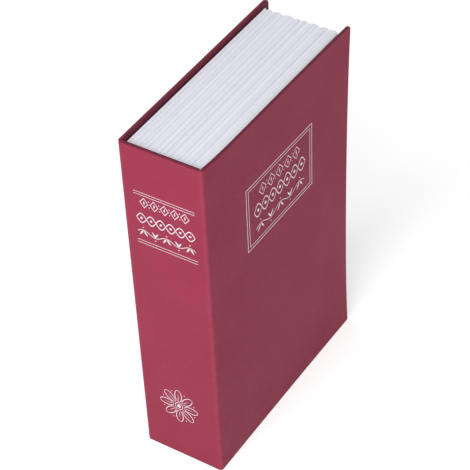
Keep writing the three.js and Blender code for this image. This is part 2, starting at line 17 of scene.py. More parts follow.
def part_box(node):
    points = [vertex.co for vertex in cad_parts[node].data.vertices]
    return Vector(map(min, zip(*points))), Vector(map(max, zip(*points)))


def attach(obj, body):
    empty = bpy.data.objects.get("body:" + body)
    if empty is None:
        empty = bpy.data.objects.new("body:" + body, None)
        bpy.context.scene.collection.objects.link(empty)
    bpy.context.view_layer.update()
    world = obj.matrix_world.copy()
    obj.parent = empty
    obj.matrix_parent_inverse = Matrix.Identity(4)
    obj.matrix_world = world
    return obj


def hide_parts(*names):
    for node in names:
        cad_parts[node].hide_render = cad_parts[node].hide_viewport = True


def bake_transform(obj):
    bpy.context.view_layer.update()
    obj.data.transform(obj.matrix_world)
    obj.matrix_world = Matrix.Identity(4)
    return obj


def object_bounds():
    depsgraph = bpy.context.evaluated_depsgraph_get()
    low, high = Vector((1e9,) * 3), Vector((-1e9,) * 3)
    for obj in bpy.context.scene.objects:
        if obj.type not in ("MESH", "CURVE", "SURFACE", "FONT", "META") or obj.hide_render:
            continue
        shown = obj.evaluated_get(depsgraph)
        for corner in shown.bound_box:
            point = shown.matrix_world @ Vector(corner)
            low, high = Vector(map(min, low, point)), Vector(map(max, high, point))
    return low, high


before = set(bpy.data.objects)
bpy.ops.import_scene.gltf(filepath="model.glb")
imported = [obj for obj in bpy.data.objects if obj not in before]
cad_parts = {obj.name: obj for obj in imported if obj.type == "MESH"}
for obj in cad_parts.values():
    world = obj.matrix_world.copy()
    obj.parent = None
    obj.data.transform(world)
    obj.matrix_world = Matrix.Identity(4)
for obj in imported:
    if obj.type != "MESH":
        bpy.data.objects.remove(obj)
cad_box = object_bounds()
low, high = cad_box
print("parts:", len(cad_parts), "box in mm:", [round(side * 1000, 2) for side in high - low])

# %% [markdown]
# ## Planes that everything is placed from
# A case is easiest to think of as six planes. They are read from the box of the parts, so the
# paper always ends exactly where the boards do. The covering paper is 0.3 mm thick, a covered
# board 2.3 mm and the spine with its turned-in paper 2.1 mm.

# %% Planes and sheets
MM = 0.001
SPINE, FORE = low.x, high.x
FRONT, BACK = low.y, high.y
TAIL, HEAD = low.z, high.z

COVERING = 0.3 * MM
COVER_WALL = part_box("front_covering")[1].y - FRONT
SPINE_WALL = 2.1 * MM
TURN_IN = 15 * MM
SPINE_BEND = 2.0 * MM
CORNER_AT_HEAD = 2.9 * MM
CORNER_AT_TAIL = 1.5 * MM
RIM = 0.45 * MM
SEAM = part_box("spine_card")[1].y
WELD = 0.001 * MM
print("covered board in mm:", round(COVER_WALL / MM, 2), "seam beside the spine:", round(SEAM / MM, 2))

# %% [markdown]
# ## Shader sums written as Python
# A material in Blender is a graph of small nodes, and a graph is hard to read in code. So one
# class wraps an output socket and gives it plus, minus, times and the rest, each of which adds
# a Math node. Every other node comes from one method that takes the node's type, its settings
# and what feeds its sockets.

# %% A socket that can be added and multiplied
class Wire:
    """An output socket of a finish, which can stand in a sum."""

    def __init__(self, finish, socket):
        self.finish = finish
        self.socket = socket

    def maths(self, operation, *values):
        return self.finish.node("ShaderNodeMath", {"operation": operation}, dict(enumerate(values)))

    def __add__(self, other):
        return self.maths("ADD", self, other)

    def __radd__(self, other):
        return self.maths("ADD", other, self)

    def __sub__(self, other):
        return self.maths("SUBTRACT", self, other)

    def __rsub__(self, other):
        return self.maths("SUBTRACT", other, self)

    def __mul__(self, other):
        return self.maths("MULTIPLY", self, other)

    def __rmul__(self, other):
        return self.maths("MULTIPLY", other, self)

    def __abs__(self):
        return self.maths("ABSOLUTE", self)

    def sine(self):
        return self.maths("SINE", self)

    def step(self, start, end):
        """0 below start, 1 above end and a smooth rise between them."""
        settings = {"interpolation_type": "SMOOTHSTEP"}
        return self.finish.node("ShaderNodeMapRange", settings, {0: self, 1: start, 2: end})


class Finish:
    """A material with one Principled shader and short ways to feed it."""

    def __init__(self, name, **constants):
        self.material = bpy.data.materials.new(name)
        self.material.use_nodes = True
        self.tree = self.material.node_tree
        self.shader = self.tree.nodes["Principled BSDF"]
        for socket, value in constants.items():
            self.shader.inputs[socket.replace("_", " ")].default_value = value

    def node(self, kind, settings=None, inputs=None, output=0):
        """Adds a node, sets it up, feeds its sockets with wires or values and returns an output."""
        made = self.tree.nodes.new(kind)
        for key, value in (settings or {}).items():
            setattr(made, key, value)
        for key, value in (inputs or {}).items():
            if isinstance(value, Wire):
                self.tree.links.new(value.socket, made.inputs[key])
            else:
                made.inputs[key].default_value = value
        return Wire(self, made.outputs[output])

    def place(self):
        return self.node("ShaderNodeTexCoord", output="Object")

    def axes(self, place):
        """The three numbers of a place as separate wires."""
        split = self.node("ShaderNodeSeparateXYZ", inputs={0: place}, output=0)
        return [Wire(self, out) for out in split.socket.node.outputs]

    def stretched(self, place, scale):
        """A place with each axis multiplied, so that a pattern runs long along one of them."""
        return self.node("ShaderNodeMapping", {}, {"Vector": place, "Scale": scale})

    def noise(self, place, scale, detail=2.0, roughness=0.5):
        inputs = {"Vector": place, "Scale": scale, "Detail": detail, "Roughness": roughness}
        return self.node("ShaderNodeTexNoise", {}, inputs, output="Fac")

    def mixed(self, mask, first, second):
        """The first colour where the mask is 0 and the second where it is 1."""
        inputs = {0: mask, 6: first, 7: second}
        return self.node("ShaderNodeMix", {"data_type": "RGBA"}, inputs, output=2)

    def feed(self, **wires):
        """Links wires to the shader's sockets."""
        for socket, wire in wires.items():
            self.tree.links.new(wire.socket, self.shader.inputs[socket.replace("_", " ")])

    def emboss(self, height, depth, strength=1.0):
        """A surface that rises by depth where height is 1."""
        inputs = {"Height": height, "Distance": depth, "Strength": strength}
        self.feed(Normal=self.node("ShaderNodeBump", {}, inputs))


def paint(red, green, blue):
    return (red, green, blue, 1.0)


print("shader helper ready")

# %% [markdown]
# ## Covering paper
# The case is covered in maroon paper with a fine cloth-like emboss. Up close the threads show
# as a shallow weave 0.45 mm apart; from a step away there is only a soft, slightly cloudy matt
# colour. Where the paper is folded over an edge, and where it is glued down inside and faces the
# pages, it carries painted shade, strongest on the rims of the front cover and the spine and
# deep in the groove beside the pages. The spine's two upright corners are painted a little paler,
# partly as worn by rubbing and partly as a painted highlight. The front cover bends at its joint,
# and a pattern on Object coordinates would slide as it opens, so the paper reads an attribute of
# its own: the place that each point had when the book was closed.

# %% Covering paper
REST_PLACE = "rest_place"
THREAD = 0.45 * MM
THREAD_DEPTH = 0.02 * MM
FOLD_WIDTH = 0.9 * MM
PALE_CORNER_WIDTH = 3.0 * MM
MAROON = paint(0.322, 0.0345, 0.074)
MAROON_DEEP = paint(0.296, 0.0305, 0.066)
# Paler maroon for the spine's corners: worn by rubbing, and a painted highlight.
MAROON_RUBBED_AND_LIT = paint(0.384, 0.054, 0.106)
# The colour of the painted shade on rims and on turned-in paper.
MAROON_IN_SHADE = paint(0.094, 0.014, 0.030)
FOLD_SHADE = 0.5
EXTRA_RIM_SHADE = 0.28
GROOVE_FROM = 1.6 * MM
GROOVE_TO = 2.6 * MM
INSIDE_SPINE = (0.5 * MM, 1.0 * MM)
INSIDE_BOARD = (1.1 * MM, 1.8 * MM)
INNER_FACE_SHADE = 0.66
EVEN_SHADE = 0.85


def either(first, second):
    """1 where one of two masks is 1."""
    return 1 - (1 - first) * (1 - second)


def folded(x, z):
    """1 on the folded rims at the head, the tail and the fore edge, where the paper gets painted shade.
    """
    half = HEAD / 2
    upright = abs(z - half).step(half - FOLD_WIDTH, half - FOLD_WIDTH / 3)
    across = x.step(FORE - FOLD_WIDTH, FORE - FOLD_WIDTH / 3)
    return either(upright, across)


def turned_in(x, y):
    """1 on the strips glued down inside the boards and the spine, which face the pages and get painted
    shade.
    """
    return (x - SPINE).step(*INSIDE_SPINE) * (BACK - abs(y)).step(*INSIDE_BOARD)


def in_groove(x, z):
    """1 deep down beside the pages, where the painted shade is deepest."""
    half = HEAD / 2
    below_rim = (half - abs(z - half)).step(GROOVE_FROM, GROOVE_TO)
    return below_rim * (FORE - x).step(GROOVE_FROM, GROOVE_TO)


def rubbed_and_lit(x, y):
    """1 along the two upright corners of the spine, falling to 0 on either side. There the paper is
    painted paler, partly as worn by rubbing and partly as a painted highlight.
    """
    return (1 - (x - SPINE).step(0.0, PALE_CORNER_WIDTH)) * (1 - (BACK - abs(y)).step(0.0, PALE_CORNER_WIDTH))


def covering_paper():
    finish = Finish("covering_paper", Roughness=0.55, Specular_IOR_Level=0.13)
    place = finish.node("ShaderNodeAttribute", {"attribute_name": REST_PLACE}, output="Vector")
    x, y, z = finish.axes(place)
    round_the_case = x + abs(y)
    thread = 2 * math.pi / THREAD
    irregular = finish.noise(place, 160.0, 1.0) * 3.0
    weave = (round_the_case * thread + irregular).sine() * (z * thread + irregular).sine()
    fibres = finish.noise(place, 2600.0, 3.0, 0.6)
    clouds = finish.noise(place, 30.0, 3.0, 0.6).step(0.3, 0.7)
    specks = finish.noise(place, 900.0, 2.0).step(0.35, 0.75)
    patchy = finish.noise(place, 220.0, 3.0).step(0.25, 0.65)
    colour = finish.mixed(clouds * 0.6 + specks * 0.4, MAROON, MAROON_DEEP)
    # The spine's upright corners painted paler: worn by rubbing, and a painted highlight where the
    # rounded corner catches light.
    wear_and_highlight = rubbed_and_lit(x, y) * (patchy * 0.5 + 0.4)
    colour = finish.mixed(wear_and_highlight, colour, MAROON_RUBBED_AND_LIT)
    # Painted shade on the turned-in paper that faces the pages, deepest in the groove beside them.
    inside = turned_in(x, y) * (INNER_FACE_SHADE + in_groove(x, z) * (1 - INNER_FACE_SHADE))
    # Painted shade on the rims, stronger on the front cover and the spine than on the back cover.
    off_back_cover = (BACK - y).step(COVER_WALL, COVER_WALL + FOLD_WIDTH)
    on_folds = folded(x, z) * (FOLD_SHADE + off_back_cover * EXTRA_RIM_SHADE)
    # The painted shade of rims and inner faces, made a little patchy, mixes towards the shaded maroon.
    dark = either(on_folds, inside) * (EVEN_SHADE + patchy * (1 - EVEN_SHADE))
    finish.feed(Base_Color=finish.mixed(dark, colour, MAROON_IN_SHADE))
    finish.feed(Roughness=0.50 + specks * 0.08 + clouds * 0.04 - wear_and_highlight * 0.08)
    finish.emboss(weave * 0.35 + fibres * 0.65, THREAD_DEPTH, 0.6)
    return finish.material


COVERING_PAPER = covering_paper()
print("covering paper, thread pitch in mm:", THREAD / MM)

# %% [markdown]
# ## From a bmesh to a piece
# Every new piece is modelled as a bmesh, the mesh that Blender's own edit tools work on. The last
# step is always the same: weld doubles, make the faces point out, shade it smooth where faces
# meet at a low angle, and let large flat faces decide the normals, so that a rounded edge
# doesn't cast a false gradient over a flat cover.

# %% Helpers for pieces
SMOOTH_BELOW = math.radians(32)
FLAT = math.radians(0.5)


def in_scene(name, data):
    """An object that shows the data, linked to the scene."""
    obj = bpy.data.objects.new(name, data)
    bpy.context.scene.collection.objects.link(obj)
    return obj


def as_piece(name, bm, material):
    """The bmesh as an object of the scene, with even normals."""
    mesh = bpy.data.meshes.new(name)
    bm.to_mesh(mesh)
    bm.free()
    mesh.materials.append(material)
    mesh.shade_smooth()
    mesh.set_sharp_from_angle(angle=SMOOTH_BELOW)
    obj = in_scene(name, mesh)
    even = obj.modifiers.new("even_normals", "WEIGHTED_NORMAL")
    even.keep_sharp = True
    print(f"{name}: {len(mesh.polygons)} faces")
    return obj


def rounded(bm, edges, radius, segments, clamped=False):
    """Rounds edges. Unless they are clamped, wide and narrow corners can meet."""
    bmesh.ops.bevel(
        bm, geom=edges, offset=radius, offset_type="OFFSET", segments=segments,
        profile=0.5, affect="EDGES", material=-1, clamp_overlap=clamped,
    )


def edges_at(bm, **places):
    """The edges that lie wholly at the given x, y or z."""
    def lies(vert):
        return all(abs(getattr(vert.co, axis) - place) < WELD for axis, place in places.items())
    return [edge for edge in bm.edges if all(lies(vert) for vert in edge.verts)]


def cut_across(bm, axis, places):
    """Cuts the whole mesh by planes across an axis and keeps both sides."""
    normal = Vector((axis == "x", axis == "y", axis == "z"))
    for place in places:
        everything = bm.verts[:] + bm.edges[:] + bm.faces[:]
        bmesh.ops.bisect_plane(bm, geom=everything, plane_co=normal * place, plane_no=normal)


def cut_off(bm, place, normal):
    """Cuts off what lies beyond a plane and closes the cut."""
    everything = bm.verts[:] + bm.edges[:] + bm.faces[:]
    bmesh.ops.bisect_plane(bm, geom=everything, plane_co=place, plane_no=normal, clear_outer=True)
    bmesh.ops.holes_fill(bm, edges=[edge for edge in bm.edges if edge.is_boundary])


def bare_wall(name, bm, thickness):
    """The skin as a mesh with a wall grown inwards, by an applied Solidify."""
    skin = bpy.data.meshes.new(name)
    bm.to_mesh(skin)
    holder = in_scene(name, skin)
    solidify = holder.modifiers.new("wall", "SOLIDIFY")
    solidify.thickness = thickness
    solidify.offset = -1
    solidify.use_even_offset = True
    depsgraph = bpy.context.evaluated_depsgraph_get()
    grown = bpy.data.meshes.new_from_object(holder.evaluated_get(depsgraph))
    bm.clear()
    bm.from_mesh(grown)
    bpy.data.objects.remove(holder)
    bpy.data.meshes.remove(grown)


def keep_rest_place(obj):
    """Writes where each point lies now, for patterns that must not slide when the piece bends."""
    attribute = obj.data.attributes.new(REST_PLACE, "FLOAT_VECTOR", "POINT")
    places = [axis for vert in obj.data.vertices for axis in vert.co]
    attribute.data.foreach_set("vector", places)


print("mesh helpers ready")

# %% [markdown]
# ## A cover that bows
# Paper shrinks as its glue dries and pulls the board along, so the front cover isn't quite flat.
# From the spine it curves outwards towards its free corners, by 3 mm at the head and 1 mm at the
# tail, and along the head it stands out a little more. One function gives the bow at any place,
# and everything that belongs to the cover is cut into small cells and moved by it: paper, board,
# endpaper and foil. The front cover is also slimmer than the back cover, which carries the safe.

# %% The bow of the front cover
FRONT_WALL = 1.9 * MM
BOW_AT_HEAD = 3.1 * MM
BOW_AT_TAIL = 1.0 * MM
BOW_WAIST = 66 * MM
BOW_START = SPINE + 6 * MM
BOW_CELL = 5 * MM
LIP = 1.55 * MM
LIP_DEPTH = 16 * MM
LIP_START = SPINE + 2 * MM
LIP_RISE = 12 * MM
LIP_FADING = 0.85


def bow_at(x, z):
    """How far the front cover stands out at a place."""
    away = max(0.0, (x - BOW_START) / (FORE - BOW_START))
    if z > BOW_WAIST:
        most = BOW_AT_HEAD * ((z - BOW_WAIST) / (HEAD - BOW_WAIST)) ** 2
    else:
        most = BOW_AT_TAIL * ((BOW_WAIST - z) / (BOW_WAIST - TAIL)) ** 2
    rise = 1 - math.exp(-max(0.0, x - LIP_START) / LIP_RISE)
    lip = LIP * rise * (1 - LIP_FADING * away ** 2) * math.exp((z - HEAD) / LIP_DEPTH)
    return most * away ** 2 + lip


def cut_for_bow(bm):
    """Cuts a mesh into cells that are small enough to follow the bow."""
    along = int((FORE - BOW_START) / BOW_CELL)
    upwards = int((HEAD - TAIL) / BOW_CELL)
    cut_across(bm, "x", [BOW_START + index * BOW_CELL for index in range(along)])
    cut_across(bm, "z", [TAIL + index * BOW_CELL for index in range(1, upwards)])


def bow(obj):
    """Moves the points of a piece outwards with the front cover."""
    for vert in obj.data.vertices:
        vert.co.y -= bow_at(vert.co.x, vert.co.z)


print("bow at the head's corner in mm:", round(bow_at(FORE, HEAD) / MM, 2))

# %% [markdown]
# ## The covering of the front cover and the spine
# On the real case one sheet of paper is glued round both boards and the spine, and folded over
# their edges by 15 mm. It could be drawn as flat faces with a bump, but the folded edge and its
# soft rim are what make a book look bound, so the sheet is modelled: the outline of the covered
# case, seen from above, is drawn once and extruded to the book's height. Its corners and rims
# are bevelled, the inner faces between the turned-in strips are cut away, and what is left grows
# a wall of paper thickness. The strip beside the spine stays thin, because that is where it bends.

# %% The outline of the covered case, extruded
JOINT_WALL = 1.15 * MM
BOARD_START = 2.05 * MM
SPINE_END = 2.6 * MM
INNER_BEND = SPINE_BEND - JOINT_WALL
BEND_SECTORS = 6
OUTSIDE, INSIDE = 0, 1


def prism(outer, inner):
    """A closed outline of outer and inner points, made solid from tail to head.
    Faces that stand on inner points are marked as inside."""
    bm = bmesh.new()
    base = bm.faces.new([bm.verts.new((x, y, TAIL)) for x, y in outer + inner])
    raised = bmesh.ops.extrude_face_region(bm, geom=[base])["geom"]
    bmesh.ops.translate(
        bm, vec=(0, 0, HEAD - TAIL), verts=[v for v in raised if isinstance(v, bmesh.types.BMVert)]
    )
    bmesh.ops.recalc_face_normals(bm, faces=bm.faces)
    for face in bm.faces:
        upright = abs(face.normal.z) < 0.5
        on_inner = all(any((v.co.xy - Vector(p)).length < WELD for p in inner) for v in face.verts)
        face.material_index = INSIDE if upright and on_inner else OUTSIDE
    return bm


def is_rim(face):
    """True on the head, the tail, the fore edge and the rounded corners between them."""
    at_fore_edge = face.normal.x > 0.9 and face.calc_center_median().x > FORE - CORNER_AT_HEAD
    return abs(face.normal.z) > 0.05 or at_fore_edge


def paper_shell(name, bm, seam, bowed):
    """Rounds a prism's rims, opens it at the seam and between the turn-ins, and gives it a wall."""
    rounded(bm, edges_at(bm, x=FORE, z=TAIL), CORNER_AT_TAIL, 8)
    rounded(bm, edges_at(bm, x=FORE, z=HEAD), CORNER_AT_HEAD, 8)
    seam_faces = [f for f in bm.faces if all(abs(v.co.y - seam) < WELD for v in f.verts)]
    bmesh.ops.delete(bm, geom=seam_faces, context="FACES")
    rims = [
        edge for edge in bm.edges
        if len(edge.link_faces) == 2 and is_rim(edge.link_faces[0]) != is_rim(edge.link_faces[1])
    ]
    rounded(bm, rims, RIM, 4)
    cut_across(bm, "z", (TAIL + TURN_IN, HEAD - TURN_IN))
    cut_across(bm, "x", (FORE - TURN_IN,))
    if bowed:
        cut_for_bow(bm)
        cut_round_bend(bm)
    opened = []
    for face in bm.faces:
        middle = face.calc_center_median()
        in_window = TAIL + TURN_IN < middle.z < HEAD - TURN_IN and middle.x < FORE - TURN_IN
        if face.material_index == INSIDE and in_window:
            opened.append(face)
    bmesh.ops.delete(bm, geom=opened, context="FACES")
    bmesh.ops.remove_doubles(bm, verts=bm.verts, dist=WELD)
    for face in bm.faces:
        face.material_index = 0
    bare_wall(name, bm, COVERING)
    obj = as_piece(name, bm, COVERING_PAPER)
    keep_rest_place(obj)
    if bowed:
        bow(obj)
    return obj


def cut_round_bend(bm):
    """Cuts the paper of the joint into narrow sectors round the middle of its bend."""
    cut_across(bm, "x", (SPINE + BOARD_START,))
    cut_across(bm, "y", (FRONT + SPINE_END,))
    limit = Vector((SPINE + BOARD_START + WELD, FRONT + SPINE_END + WELD))
    for sector in range(BEND_SECTORS + 1):
        turn = math.pi / 2 * sector / BEND_SECTORS
        verts = {vert for vert in bm.verts if vert.co.x < limit.x and vert.co.y < limit.y}
        edges = [edge for edge in bm.edges if verts.issuperset(edge.verts)]
        faces = [face for face in bm.faces if verts.issuperset(face.verts)]
        bmesh.ops.bisect_plane(
            bm, geom=list(verts) + edges + faces, dist=WELD,
            plane_co=(SPINE + SPINE_BEND, FRONT + SPINE_BEND, 0),
            plane_no=(math.sin(turn), -math.cos(turn), 0),
        )


def front_and_spine():
    board_inner = FRONT + FRONT_WALL
    spine_inner = SPINE + SPINE_WALL
    joint = Vector((SPINE + JOINT_WALL, FRONT + JOINT_WALL))
    outer = [(SPINE, SEAM), (SPINE, FRONT), (FORE, FRONT)]
    inner = [
        (FORE, board_inner),
        (SPINE + BOARD_START, board_inner),
        (SPINE + BOARD_START, joint.y),
        (joint.x, joint.y),
        (joint.x, FRONT + SPINE_END),
        (spine_inner, FRONT + SPINE_END),
        (spine_inner, SEAM),
    ]
    bm = prism(outer, inner)
    rounded(bm, edges_at(bm, x=SPINE, y=FRONT), SPINE_BEND, 3 * BEND_SECTORS)
    rounded(bm, edges_at(bm, x=joint.x, y=joint.y), INNER_BEND, BEND_SECTORS)
    return paper_shell("front_and_spine_paper", bm, SEAM, bowed=True)


front_paper = front_and_spine()

# The bend lies between the thick spine's edge, which stays, and the board's edge, which turns.
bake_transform(front_paper)
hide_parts("front_covering", "front_joint", "case_covering")

# %% [markdown]
# ## The covering of the back cover
# The back cover never moves, so its part of the sheet is a piece that rides on the case. It meets
# the spine's paper on a flat stretch close to the back corner, with the same rims and the same
# pattern, where the join can't be seen.

# %% The back cover's paper
def back_cover():
    board_inner = BACK - COVER_WALL
    spine_inner = SPINE + SPINE_WALL
    outer = [(FORE, BACK), (SPINE, BACK), (SPINE, SEAM)]
    inner = [(spine_inner, SEAM), (spine_inner, board_inner), (FORE, board_inner)]
    bm = prism(outer, inner)
    rounded(bm, edges_at(bm, x=SPINE, y=BACK), SPINE_BEND, 12)
    return paper_shell("back_paper", bm, SEAM, bowed=False)


back_paper = back_cover()
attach(back_paper, "case")
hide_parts("case_covering")

# %% [markdown]
# ## Boards and lining papers
# Greyboard is pulped waste paper: a warm grey with darker and lighter flecks. The endpapers are
# a plain off-white stock with faint fibres and a slight tooth. The spine's card and lining are
# right as they are and need nothing but a finish. Both boards and both endpapers are copied. The
# front ones bow with their cover, and the front board is trimmed beside the spine to keep its
# edge out of the joint. Both boards lose the tip of their head corner, where the paper is rounded.
# The back endpaper is cut a little short of the page edges, which leaves the dark gap that runs
# between pages and cover.

# %% Board and paper finishes
def greyboard():
    finish = Finish("greyboard", Roughness=0.9, Specular_IOR_Level=0.2)
    place = finish.place()
    flecks = finish.noise(place, 1400.0, 4.0, 0.7).step(0.35, 0.65)
    pulp = finish.noise(place, 120.0, 3.0).step(0.3, 0.7)
    colour = finish.mixed(flecks, paint(0.20, 0.185, 0.16), paint(0.33, 0.31, 0.27))
    finish.feed(Base_Color=finish.mixed(pulp * 0.35, colour, paint(0.26, 0.23, 0.19)))
    finish.emboss(flecks, 0.03 * MM)
    return finish.material


def endpaper():
    finish = Finish("endpaper", Roughness=0.85, Specular_IOR_Level=0.25)
    place = finish.place()
    fibres = finish.noise(finish.stretched(place, (900, 900, 260)), 1.0, 3.0, 0.6)
    clouds = finish.noise(place, 45.0, 2.0).step(0.3, 0.7)
    colour = finish.mixed(fibres.step(0.35, 0.7), paint(0.74, 0.70, 0.61), paint(0.80, 0.765, 0.69))
    finish.feed(Base_Color=finish.mixed(clouds * 0.4, colour, paint(0.76, 0.71, 0.62)))
    finish.feed(Roughness=0.80 + fibres * 0.12)
    finish.emboss(fibres, 0.012 * MM)
    return finish.material


def put_finish(node, material):
    """Gives a CAD node's own mesh another finish."""
    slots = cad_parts[node].data.materials
    slots.clear()
    slots.append(material)


GREYBOARD = greyboard()
ENDPAPER = endpaper()
put_finish("spine_card", GREYBOARD)
put_finish("spine_lining", ENDPAPER)
print("finishes:", GREYBOARD.name, ENDPAPER.name)


def copy_of(node):
    """A welded copy of a CAD node's mesh, with its flat faces whole again."""
    bm = bmesh.new()
    bm.from_mesh(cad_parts[node].data)
    bmesh.ops.remove_doubles(bm, verts=bm.verts, dist=WELD)
    bmesh.ops.dissolve_limit(bm, angle_limit=FLAT, verts=bm.verts, edges=bm.edges)
    return bm


# %% Both boards and both endpapers
ENDPAPER_SHORT = 2.6 * MM


def cover_sheet(name, node, cuts, bowed, material, body):
    """A copy of a flat sheet, cut short by planes, that takes the place of its node."""
    bm = copy_of(node)
    for place, normal in cuts:
        cut_off(bm, place, normal)
    if bowed:
        slimmer = Matrix.Diagonal((1, FRONT_WALL / COVER_WALL, 1, 1))
        face = Matrix.Translation((0, FRONT, 0))
        bmesh.ops.transform(bm, verts=bm.verts, matrix=face @ slimmer @ face.inverted())
        cut_for_bow(bm)
    sheet = as_piece(name, bm, material)
    if bowed:
        bow(sheet)
    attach(sheet, body)
    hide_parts(node)


BOARD_SLACK = 0.1 * MM
reach = CORNER_AT_HEAD - (CORNER_AT_HEAD - COVERING - BOARD_SLACK) / math.sqrt(2)
off_corner = [((FORE - reach, 0, HEAD - reach), (1, 0, 1))]
beside_spine = [((SPINE + BOARD_START + COVERING, 0, 0), (-1, 0, 0))]
back_low, back_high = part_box("back_endpaper")
short_of_pages = [
    ((0, 0, back_low.z + ENDPAPER_SHORT), (0, 0, -1)),
    ((0, 0, back_high.z - ENDPAPER_SHORT), (0, 0, 1)),
    ((back_high.x - ENDPAPER_SHORT, 0, 0), (1, 0, 0)),
]
front_cuts = beside_spine + off_corner
cover_sheet("front_greyboard", "front_board", front_cuts, True, GREYBOARD, "front_cover")
cover_sheet("back_greyboard", "back_board", off_corner, False, GREYBOARD, "case")
cover_sheet("front_lining", "front_endpaper", [], True, ENDPAPER, "front_cover")
cover_sheet("back_lining", "back_endpaper", short_of_pages, False, ENDPAPER, "case")

# %% [markdown]
# ## The moulded page edges
# What looks like paper is a hollow plastic moulding. Its maker imitates bundles of leaves that
# swell between shallow valleys, with a fine groove between each leaf and the next. Those lines
# are real relief in the photograph, even in its outline, so they are modelled and not painted.
# A grid gets one row for each leaf edge, each row is lifted to its height, and the sheet is
# extruded into a bar, cut to a mitre and hollowed from the inside. The foremost leaves then
# spread a little after the bowed cover.

# %% Leaves across the block
BUNDLES = (5.6, 5.5, 8, 5, 4, 8, 7, 5, 1.5)
PROUD_LEAVES = (5.9, 12.1, 13.9, 19.3, 23.3, 26.9, 29.6, 35.3, 37.4, 42.7, 46.5, 48.3)
SUNK_LEAVES = (7.1, 12.8, 15.3, 21.0, 24.8, 28.2, 30.8, 36.3, 38.7, 41.0, 44.2, 47.4)
LEAF_REACH = 0.5 * MM
BULGE = 0.75
VALLEY = 0.9 * MM
LEAF = 0.6 * MM
GROOVE = 0.08 * MM
UNEVEN = 0.04 * MM
PROUD_BY = 0.12 * MM
LEAF_LIGHT_AND_TONE = "leaf_light_and_tone"
LEAF_PROFILE = ((0.0, GROOVE), (0.2, 0.0), (0.8, 0.0))
TONE = 0.48
TONE_OF_HIGHLIGHT = 0.52
TONE_OF_CHANCE = 0.10
TONE_OF_GROOVE_SHADE = 0.15
SWELLING = 0.35
SWELL_CELL = 4 * BOW_CELL
STRIP_DEPTH = 11 * MM
MOULDING = 1.6 * MM
HOLLOW = 8.5 * MM
MITRE_GAP = 0.01 * MM

head_low, head_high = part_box("head_page_edge")
tail_low, tail_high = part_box("tail_page_edge")
fore_low, fore_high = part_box("fore_page_edge")


def swell(bm):
    """Moves the front leaves of a strip outwards with the front cover, by a third as much."""
    for axis, start, end in (("x", tail_low.x, fore_high.x), ("z", tail_low.z, head_high.z)):
        count = int((end - start) / SWELL_CELL)
        cut_across(bm, axis, [start + index * SWELL_CELL for index in range(1, count + 1)])
    for vert in bm.verts:
        share = (head_high.y - vert.co.y) / (head_high.y - head_low.y)
        vert.co.y -= SWELLING * bow_at(vert.co.x, vert.co.z) * share ** 4


def near_leaf(place, leaves):
    """1 on one of the given leaves, falling to 0 at a little distance from it."""
    nearest = min(abs(place - each * MM) for each in leaves)
    return math.exp(-((nearest / LEAF_REACH) ** 2))


def leaf_rows():
    """Places across the block, how far each lies below the crests, and how bright it is.
    Proud leaves get a painted highlight, and sunk leaves and the grooves between leaves
    get painted shade; the rest of the brightness differs at random."""
    chance = random.Random(7)
    scale = (head_high.y - head_low.y) / sum(BUNDLES)
    start, rows = head_low.y, []
    for bundle in BUNDLES:
        width = bundle * scale
        leaves = max(2, round(width / LEAF))
        for number in range(leaves):
            uneven = chance.uniform(-1, 1)
            for share, groove in LEAF_PROFILE:
                along = (number + share) / leaves
                place = start + along * width - head_low.y
                highlight = near_leaf(place, PROUD_LEAVES) - near_leaf(place, SUNK_LEAVES)
                fullness = math.sin(math.pi * along) ** BULGE
                below = VALLEY * (1 - fullness) + groove - PROUD_BY * highlight + UNEVEN * uneven
                # Painted highlight on proud leaves and painted shade on sunk ones and in the grooves;
                # the uneven part is random tone.
                tone = TONE + TONE_OF_HIGHLIGHT * highlight + TONE_OF_CHANCE * uneven
                tone -= TONE_OF_GROOVE_SHADE * (groove > 0)
                rows.append((start + along * width, below, tone))
        start += width
    # The last row drops into the gap beside the back cover and gets the deepest painted shade.
    rows.append((head_high.y, VALLEY, 0.0))
    return rows


LEAF_ROWS = leaf_rows()
print("rows across the block:", len(LEAF_ROWS))


# %% Page plastic
def page_plastic():
    finish = Finish("page_plastic", Roughness=0.5, Specular_IOR_Level=0.35)
    place = finish.place()
    tone = finish.node("ShaderNodeAttribute", {"attribute_name": LEAF_LIGHT_AND_TONE}, output="Fac")
    streaks = finish.noise(finish.stretched(place, (6, 3600, 6)), 1.0, 2.0).step(0.3, 0.7)
    fading = finish.noise(finish.stretched(place, (25, 300, 25)), 1.0, 2.0).step(0.25, 0.6)
    clouds = finish.noise(place, 60.0, 2.0).step(0.3, 0.7)
    grain = finish.noise(place, 3000.0, 2.0)
    # The leaf tone brings painted highlights and painted shade along the leaves, as well as random tone.
    light = tone * (0.68 + fading * 0.16) + streaks * 0.20
    colour = finish.mixed(light, paint(0.70, 0.695, 0.785), paint(0.90, 0.90, 0.97))
    finish.feed(Base_Color=finish.mixed(clouds * 0.25, colour, paint(0.77, 0.79, 0.86)))
    finish.feed(Roughness=0.46 + grain * 0.10)
    finish.emboss(streaks * 0.7 + grain * 0.3, 0.02 * MM, 0.7)
    return finish.material


PAGE_PLASTIC = page_plastic()
print("finish:", PAGE_PLASTIC.name)


